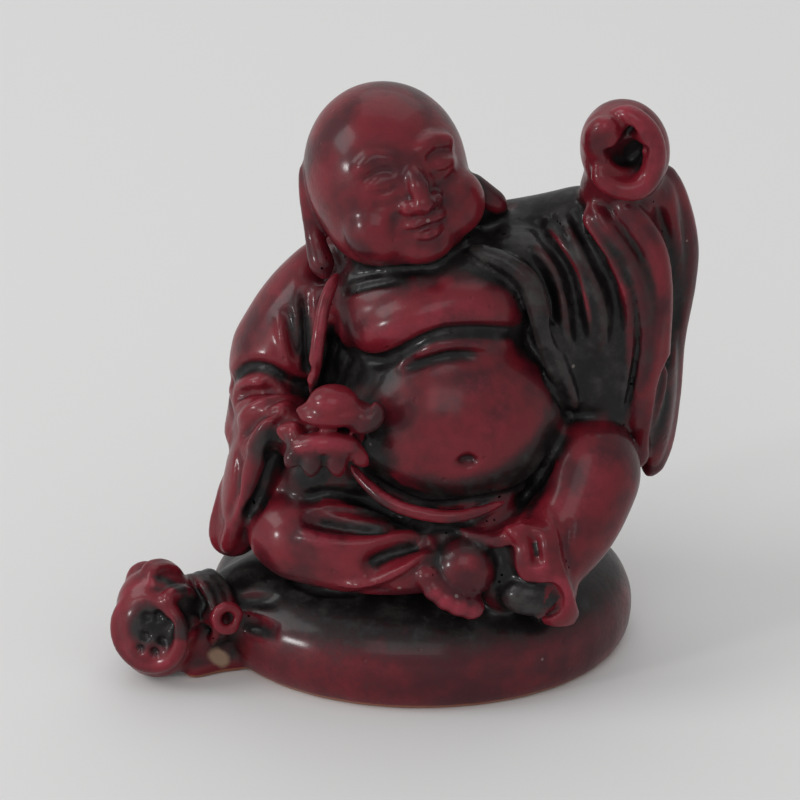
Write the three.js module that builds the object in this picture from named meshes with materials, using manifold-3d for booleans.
// A small cast-resin figurine: a seated monk who rests on a tied cloth sack, holding an
// ingot in the right hand and raising the left. Millimetres, +Z up, the figure faces -Y.
// The origin is on the ground under the middle of the figurine's bounding box.
//
// The casting is split at its sculpted creases, so that every mass is its own solid. Each one
// is cut back from the masses before it in the list at the end, with GAP left between them.

import * as THREE from "three";
import { mergeVertices } from "three/addons/utils/BufferGeometryUtils.js";
import Module from "manifold-3d";

const wasm = await Module();
wasm.setup();

// Driving dimensions
const GAP = 0.3; // between neighbouring masses
const HEIGHT = 50; // crown of the head above the ground
const SACK = { x: 1.8, halfLength: 18.2, halfDepth: 14.8, mid: 2.8, halfHeight: 6.4 };
const HEAD = { x: -1.2, y: -0.4, radius: 7.0 };
const HEAD_Z = HEIGHT - HEAD.radius - 0.1;
const BELLY = { x: 4.4, y: -2.4, z: 22.0 };
const FIST = { x: 18.2, y: -2.2, z: 45.3 };
const MOUTH = { x: -20.6, y: -8.2, z: 4.9 };
const NECK_AXIS = new THREE.Vector3(-0.84, -0.54, 0.0).normalize(); // out of the sack, along its neck

// The side on which a mass is drawn, where that isn't the front
const UP = [0, 0, 1];

// Finishes
const RED = { color: 0x6e1a26, roughness: 0.42, metalness: 0 };
const DARK = { color: 0x2b2425, roughness: 0.5, metalness: 0 };
const BARE = { color: 0xb98a6a, roughness: 0.55, metalness: 0 };

// Facets round and along a mass
const ROUND = { around: 16, along: 9 };
const DRAWN = { around: 10, along: 9 };
const SLIM = { around: 8, along: 9 };
const TINY = { around: 7, along: 5 };

// A three.js geometry as a manifold-3d solid.
function solid(geometry) {
  const bare = geometry.clone();
  bare.deleteAttribute("normal");
  bare.deleteAttribute("uv");
  const merged = mergeVertices(bare, 1e-4);
  return new wasm.Manifold(
    new wasm.Mesh({
      numProp: 3,
      vertProperties: merged.attributes.position.array,
      triVerts: new Uint32Array(merged.index.array),
    }),
  );
}

// Moves every vertex of a geometry by a function of its place.
function reshape(geometry, move) {
  const places = geometry.attributes.position;
  const point = new THREE.Vector3();
  for (let i = 0; i < places.count; i++) {
    point.fromBufferAttribute(places, i);
    move(point);
    places.setXYZ(i, point.x, point.y, point.z);
  }
  return geometry;
}

// An ellipsoid. Its turn is in degrees about X, Y and Z.
function ball(at, radii, turn = [0, 0, 0], detail = ROUND) {
  return (grow) => {
    const geometry = new THREE.SphereGeometry(1, detail.around, detail.along);
    geometry.rotateX(Math.PI / 2);
    geometry.scale(radii[0] + grow, radii[1] + grow, radii[2] + grow);
    const [x, y, z] = turn.map(THREE.MathUtils.degToRad);
    geometry.applyMatrix4(new THREE.Matrix4().makeRotationFromEuler(new THREE.Euler(x, y, z)));
    return solid(geometry.translate(...at));
  };
}

// A sphere drawn out along a smooth line of stations [x, y, z, width, depth]. Its section is an
// ellipse: depth is the half size along the facing direction, and width is across it.
function limb(stations, facing = [0, -1, 0], detail = DRAWN) {
  const CAP = 0.22; // share of the rings that round off each end
  const front = new THREE.Vector3(...facing).normalize();
  const places = stations.map((s) => new THREE.Vector3(s[0], s[1], s[2]));
  const curve = new THREE.CatmullRomCurve3(places, false, "centripetal");
  const size = (t, index) => {
    const at = t * (stations.length - 1);
    const i = Math.min(stations.length - 2, Math.floor(at));
    const share = at - i;
    return stations[i][index] * (1 - share) + stations[i + 1][index] * share;
  };
  return (grow) => {
    const geometry = new THREE.SphereGeometry(1, detail.around, detail.along);
    reshape(geometry, (p) => {
      const polar = Math.acos(THREE.MathUtils.clamp(p.y, -1, 1)) / Math.PI;
      const around = Math.atan2(p.z, p.x);
      const t = THREE.MathUtils.clamp((polar - CAP) / (1 - 2 * CAP), 0, 1);
      const cap = polar < CAP ? (polar / CAP - 1) : Math.max(0, (polar - 1 + CAP) / CAP);
      const angle = (cap * Math.PI) / 2;
      const width = size(t, 3) + grow;
      const depth = size(t, 4) + grow;
      const tangent = curve.getTangent(t);
      const side = new THREE.Vector3().crossVectors(tangent, front).normalize();
      const out = new THREE.Vector3().crossVectors(side, tangent).normalize();
      const share = Math.abs(p.y) > 0.9999 ? 0 : Math.cos(angle);
      p.copy(curve.getPoint(t))
        .addScaledVector(tangent, Math.sin(angle) * Math.min(width, depth))
        .addScaledVector(side, Math.cos(around) * width * share)
        .addScaledVector(out, -Math.sin(around) * depth * share);
    });
    const made = solid(geometry);
    return made.volume() < 0 ? solid(flipped(geometry)) : made;
  };
}

// The same geometry with its faces turned round.
function flipped(geometry) {
  const index = geometry.index.array.slice();
  for (let i = 0; i < index.length; i += 3) {
    [index[i + 1], index[i + 2]] = [index[i + 2], index[i + 1]];
  }
  return geometry.clone().setIndex(new THREE.BufferAttribute(index, 1));
}

// A ring that lies square to an axis.
function ring(at, axis, radius, tube, stretch = 1) {
  return (grow) => {
    const geometry = new THREE.TorusGeometry(radius, tube + grow, 6, 16);
    geometry.scale(1, stretch, 1);
    const turn = new THREE.Quaternion().setFromUnitVectors(new THREE.Vector3(0, 0, 1), axis);
    geometry.applyQuaternion(turn);
    return solid(geometry.translate(...at));
  };
}

// The stuffed sack: a rounded pillow with a flat underside, which narrows to its neck.
function sackBody(grow) {
  const toNeck = limb([[-9.0, -2.6, 4.4, 7.4, 4.4], [-13.6, -4.8, 4.9, 3.6, 3.4]], UP);
  return sackPillow(grow).add(toNeck(grow)).subtract(belowGround());
}

function sackPillow(grow) {
  const SQUARE = 2.6; // above 2, a fuller edge than an ellipse's
  const geometry = new THREE.SphereGeometry(1, 30, 14);
  geometry.rotateX(Math.PI / 2);
  reshape(geometry, (p) => {
    const flat = Math.hypot(p.x, p.y);
    const full = Math.pow(Math.pow(flat, SQUARE) + Math.pow(Math.abs(p.z), SQUARE), -1 / SQUARE);
    p.multiplyScalar(full);
    p.x = SACK.x + p.x * (SACK.halfLength + grow);
    p.y = p.y * (SACK.halfDepth + grow);
    p.z = Math.max(0, SACK.mid + p.z * (SACK.halfHeight + grow));
  });
  return solid(geometry);
}

// The ingot: a boat whose two ends curl up, with a dome amidships.
function ingotHull(grow) {
  const HULL = { halfLength: 3.6, halfWidth: 2.0, depth: 1.5, rise: 1.5 };
  const geometry = new THREE.SphereGeometry(1, 14, 8);
  geometry.rotateX(Math.PI / 2);
  reshape(geometry, (p) => {
    const end = p.x * p.x;
    p.z = p.z > 0 ? p.z * (0.55 + grow) : p.z * (HULL.depth * (1 - 0.45 * end) + grow);
    p.z += HULL.rise * end;
    p.x *= HULL.halfLength + grow;
    p.y *= HULL.halfWidth * (1 - 0.25 * end) + grow;
  });
  geometry.rotateY(THREE.MathUtils.degToRad(-4));
  geometry.rotateZ(THREE.MathUtils.degToRad(6));
  return solid(geometry.translate(-4.9, -10.6, 25.6));
}

// The gathered mouth of the sack, dished where the cloth opens.
function sackMouth(grow) {
  const OPENING = { x: -21.6, y: -12.3, z: 5.1 };
  const bundle = joined(
    ball([MOUTH.x, MOUTH.y, MOUTH.z], [4.1, 3.9, 4.8], [0, 0, 12])(grow),
    limb([[-18.9, -7.2, 5.1, 3.1, 3.0], [-20.3, -8.0, 4.9, 4.2, 4.2]], UP)(grow),
  );
  const dish = ball([OPENING.x, OPENING.y, OPENING.z], [2.9 - grow, 2.2 - grow, 3.4 - grow])(0);
  return bundle.subtract(dish).subtract(belowGround());
}

// The raised hand: a loose fist with a hollow palm.
function leftHand(grow) {
  const fist = joined(
    ball([FIST.x, FIST.y, FIST.z], [3.5, 2.9, 4.1], [0, -14, 0])(grow),
    ball([FIST.x - 1.9, FIST.y - 1.5, FIST.z + 1.7], [1.6, 1.7, 2.1], [0, 20, 0])(grow),
    limb([[17.6, -1.2, 42.6, 2.5, 2.3], [17.2, -0.4, 40.2, 2.5, 2.3]])(grow),
  );
  const palm = ball([FIST.x + 0.7, FIST.y - 3.0, FIST.z - 0.2], [1.8 - grow, 1.9 - grow, 1.7 - grow])(0);
  return fist.subtract(palm);
}

function belowGround() {
  return solid(new THREE.BoxGeometry(90, 90, 20).translate(0, 0, -10));
}

function joined(...solids) {
  return solids.reduce((all, next) => all.add(next));
}

// The mass made of several shapes, as a function of how far it is grown.
const mass = (...shapes) => (grow) => joined(...shapes.map((shape) => shape(grow)));

const fingers = [0, 1, 2, 3].map((i) =>
  limb(
    [
      [-8.2 + 1.55 * i, -9.4 - 0.25 * i, 22.9 + 0.1 * i, 0.85, 0.85],
      [-7.9 + 1.5 * i, -10.9 - 0.2 * i, 22.2 + 0.05 * i, 0.85, 0.85],
      [-7.6 + 1.45 * i, -10.6, 21.3, 0.75, 0.75],
    ],
    [1, 0, 0.2],
    TINY,
  ),
);

const toes = [0, 1, 2, 3, 4].map((i) =>
  ball(
    [2.5 + 1.35 * i, -13.35 - 0.12 * i, 11.0 - 0.52 * i],
    [0.95 - 0.06 * i, 0.95, 0.85],
    [0, 0, 0],
    TINY,
  ),
);

// Every mass in the order in which it is cut: name, shape, finish.
const MASSES = [
  ["sack_body", sackBody, RED],
  [
    "torso",
    mass(
      ball([BELLY.x, BELLY.y, BELLY.z], [9.7, 8.9, 8.7]),
      ball([2.8, -0.9, 32.0], [9.2, 7.6, 5.4], [0, -6, 0]),
      ball([3.4, 1.6, 17.0], [9.4, 7.0, 7.6]),
      limb([[1.4, 0.4, 33.0, 5.4, 5.0], [-0.2, 0.0, 38.0, 4.8, 4.6]]),
    ),
    RED,
  ],
  [
    "head",
    mass(
      ball([HEAD.x, HEAD.y, HEAD_Z], [6.5, 7.0, HEAD.radius], [0, -12, 0]),
      ball([0.0, -1.5, 39.9], [6.2, 6.0, 4.5], [0, -12, 0]),
    ),
    RED,
  ],
  [
    "right_ear",
    limb(
      [
        [-7.4, 0.6, 42.6, 0.9, 1.4],
        [-7.8, 0.3, 39.6, 0.9, 1.3],
        [-7.2, -0.5, 36.4, 0.9, 1.0],
        [-6.5, -1.4, 34.2, 1.2, 1.1],
      ],
      [0, -1, 0],
      SLIM,
    ),
    RED,
  ],
  [
    "left_ear",
    limb(
      [
        [5.6, 0.4, 42.4, 0.9, 1.4],
        [6.6, 0.8, 40.4, 1.0, 1.2],
        [8.5, 1.6, 38.9, 1.2, 1.0],
      ],
      [0, -1, 0],
      SLIM,
    ),
    RED,
  ],
  [
    "waistband",
    limb(
      [
        [-4.2, -7.6, 19.2, 1.1, 0.9],
        [-0.6, -10.1, 17.8, 1.1, 0.9],
        [3.6, -11.1, 17.0, 1.1, 0.9],
        [8.0, -10.5, 17.1, 1.1, 0.9],
        [11.6, -8.4, 18.0, 1.1, 0.9],
      ],
      [0, -1, 0],
      SLIM,
    ),
    RED,
  ],
  [
    "left_leg",
    mass(
      limb([[9.5, 0.5, 14.5, 5.0, 4.6], [13.2, -2.4, 16.6, 4.9, 4.6], [15.9, -5.2, 18.4, 4.4, 4.1]]),
      limb([[15.9, -5.4, 18.2, 4.4, 4.0], [14.4, -8.4, 14.8, 3.9, 3.4], [12.4, -10.8, 12.2, 3.0, 2.6]]),
    ),
    RED,
  ],
  [
    "right_leg",
    mass(
      limb([[1.5, -2.6, 12.8, 4.6, 4.2], [-4.2, -4.6, 13.6, 4.6, 4.2], [-8.8, -6.4, 13.2, 4.1, 3.9]], UP),
      limb([[-8.9, -7.0, 12.9, 3.9, 3.8], [-3.6, -9.6, 12.3, 3.3, 3.2], [1.6, -11.0, 12.2, 2.5, 2.6]], UP),
    ),
    RED,
  ],
  [
    "right_foot",
    mass(
      ball([5.2, -11.5, 11.1], [3.2, 2.6, 3.0], [0, 20, 0]),
      ...toes,
    ),
    RED,
  ],
  ["left_foot", ball([10.4, -12.0, 10.4], [2.6, 2.3, 1.6]), DARK],
  [
    "trouser_hem",
    limb(
      [
        [7.4, -11.0, 15.0, 1.5, 1.1],
        [10.4, -12.6, 13.4, 2.2, 1.2],
        [12.6, -13.2, 11.2, 1.9, 1.1],
        [13.9, -12.6, 9.2, 1.3, 0.9],
      ],
      [0, -1, 0],
      SLIM,
    ),
    RED,
  ],
  [
    "robe_back",
    mass(
      ball([0.8, 4.6, 25.0], [12.4, 8.0, 12.6], [6, 0, 0]),
      ball([1.6, 4.6, 13.0], [14.6, 9.2, 6.2]),
      ball([0.6, 4.6, 35.0], [8.2, 5.0, 3.9]),
    ),
    RED,
  ],
  [
    "right_shoulder",
    limb(
      [
        [-5.0, 1.4, 33.4, 3.4, 4.0],
        [-7.8, 0.8, 29.8, 4.1, 4.8],
        [-10.3, 0.0, 25.6, 4.2, 4.9],
      ],
    ),
    RED,
  ],
  [
    "right_lapel",
    limb(
      [
        [-4.3, -4.6, 34.4, 1.5, 1.5],
        [-5.6, -6.0, 30.6, 1.5, 1.5],
        [-6.4, -6.4, 26.8, 1.3, 1.3],
      ],
      [0, -1, 0],
      SLIM,
    ),
    RED,
  ],
  [
    "right_sleeve",
    mass(
      limb(
        [[-10.8, 0.2, 22.6, 3.7, 3.9], [-10.2, -4.4, 22.2, 3.0, 3.2], [-9.2, -7.2, 22.3, 2.1, 2.3]],
        [1, 0, 0],
      ),
      limb([[-11.2, -1.8, 20.4, 3.0, 4.6], [-12.2, -2.6, 15.6, 2.5, 4.4], [-14.1, -3.2, 11.2, 2.1, 3.4]]),
    ),
    RED,
  ],
  [
    "right_sleeve_hem",
    limb(
      [
        [-9.0, -7.6, 24.0, 0.9, 1.1],
        [-10.9, -7.2, 22.0, 0.9, 1.1],
        [-12.1, -6.7, 18.6, 0.9, 1.1],
        [-13.5, -6.2, 14.8, 0.9, 1.1],
        [-15.1, -4.8, 10.6, 0.9, 1.1],
      ],
      [0, -1, 0],
      SLIM,
    ),
    RED,
  ],
  [
    "right_hand",
    mass(
      ball([-6.3, -8.7, 23.0], [3.1, 2.3, 1.5]),
      ball([-8.9, -10.2, 23.9], [1.1, 1.0, 0.9]),
      ...fingers,
    ),
    RED,
  ],
  ["ingot", mass(ingotHull, ball([-5.2, -10.5, 26.4], [1.9, 1.5, 1.5])), RED],
  [
    "left_shoulder",
    limb(
      [
        [6.6, 2.0, 35.0, 3.4, 4.1],
        [11.4, 2.0, 35.9, 3.4, 3.7],
        [15.4, 0.9, 38.2, 2.6, 2.8],
      ],
      [0, -1, 0],
      DRAWN,
    ),
    DARK,
  ],
  [
    "left_lapel",
    limb(
      [
        [6.4, -3.6, 36.6, 1.2, 1.6],
        [10.4, -4.6, 34.2, 1.4, 1.8],
        [12.6, -4.8, 29.4, 1.4, 2.0],
        [14.2, -4.6, 24.0, 1.4, 1.8],
      ],
      [0, -1, 0],
      SLIM,
    ),
    DARK,
  ],
  [
    "left_panel",
    limb(
      [
        [12.8, 0.4, 36.0, 4.2, 3.0],
        [15.4, -1.0, 32.0, 5.0, 3.0],
        [16.8, -2.0, 27.0, 4.6, 2.7],
        [17.2, -2.4, 22.2, 3.4, 2.0],
      ],
      [0, -1, 0],
      DRAWN,
    ),
    DARK,
  ],
  ["left_hand", leftHand, RED],
  [
    "sleeve_near_hem",
    limb(
      [
        [16.0, -2.6, 41.0, 1.5, 1.2],
        [18.8, -3.4, 39.4, 1.7, 1.3],
        [20.5, -3.8, 36.0, 1.7, 1.4],
        [20.9, -3.8, 31.0, 1.7, 1.4],
        [20.6, -3.6, 26.0, 1.5, 1.3],
        [19.9, -3.2, 21.6, 1.2, 1.1],
      ],
      [0, -1, 0],
      SLIM,
    ),
    RED,
  ],
  [
    "sleeve_far_hem",
    limb(
      [
        [19.6, 1.0, 42.0, 1.6, 2.4],
        [22.4, 1.4, 38.6, 1.7, 2.6],
        [23.2, 1.5, 33.8, 1.7, 2.8],
        [22.8, 1.4, 27.4, 1.7, 2.8],
        [22.0, 1.1, 21.4, 1.5, 2.4],
        [21.4, 0.5, 15.6, 1.1, 1.7],
      ],
      [0, -1, 0],
      SLIM,
    ),
    RED,
  ],
  [
    "sleeve_back",
    limb(
      [
        [14.6, 3.6, 36.0, 4.6, 2.2],
        [17.2, 3.4, 30.0, 4.6, 2.2],
        [17.6, 2.8, 23.0, 4.2, 2.2],
        [17.4, 2.0, 17.4, 3.4, 1.8],
      ],
      [0, -1, 0],
      DRAWN,
    ),
    DARK,
  ],
  [
    "sack_neck",
    limb([[-14.4, -5.0, 5.1, 2.9, 3.0], [-16.2, -5.9, 5.3, 2.2, 2.3], [-18.0, -6.9, 5.3, 2.0, 2.2]], UP),
    DARK,
  ],
  [
    "tie_cord",
    mass(
      ring([-15.9, -5.7, 5.3], NECK_AXIS, 2.75, 0.45),
      ring([-16.6, -6.1, 5.3], NECK_AXIS, 2.65, 0.45),
      ball([-15.6, -8.6, 5.9], [0.9, 0.8, 0.8], [0, 0, 0], TINY),
    ),
    DARK,
  ],
  ["sack_mouth", sackMouth, RED],
  [
    "mould_flash",
    mass(
      limb(
        [[-17.6, -8.6, 0.8, 0.9, 0.8], [-15.4, -7.6, 0.8, 0.8, 0.8], [-13.6, -7.2, 0.8, 0.8, 0.8]],
        UP,
        SLIM,
      ),
      ball([-15.6, -7.2, 2.0], [1.3, 0.8, 1.6], [0, 0, 0], TINY),
    ),
    BARE,
  ],
  [
    "tie_loop",
    ring([-14.1, -9.4, 5.7], new THREE.Vector3(0.25, -0.93, 0.2).normalize(), 1.15, 0.5, 1.15),
    RED,
  ],
];

// The largest body of a solid: a cut can leave slivers beside it.
function largest(made) {
  const bodies = made.decompose();
  return bodies.sort((a, b) => b.volume() - a.volume())[0];
}

function meshOf(name, made, finish) {
  const cut = made.getMesh();
  const geometry = new THREE.BufferGeometry();
  geometry.setAttribute("position", new THREE.BufferAttribute(cut.vertProperties, 3));
  geometry.setIndex(new THREE.BufferAttribute(cut.triVerts, 1));
  const mesh = new THREE.Mesh(geometry, new THREE.MeshStandardMaterial(finish));
  mesh.name = name;
  return mesh;
}

const figurine = new THREE.Group();
const before = [];
for (const [name, shape, finish] of MASSES) {
  const cut = before.reduce((left, earlier) => left.subtract(earlier(GAP)), shape(0));
  figurine.add(meshOf(name, largest(cut), finish));
  before.push(shape);
}

export default figurine;
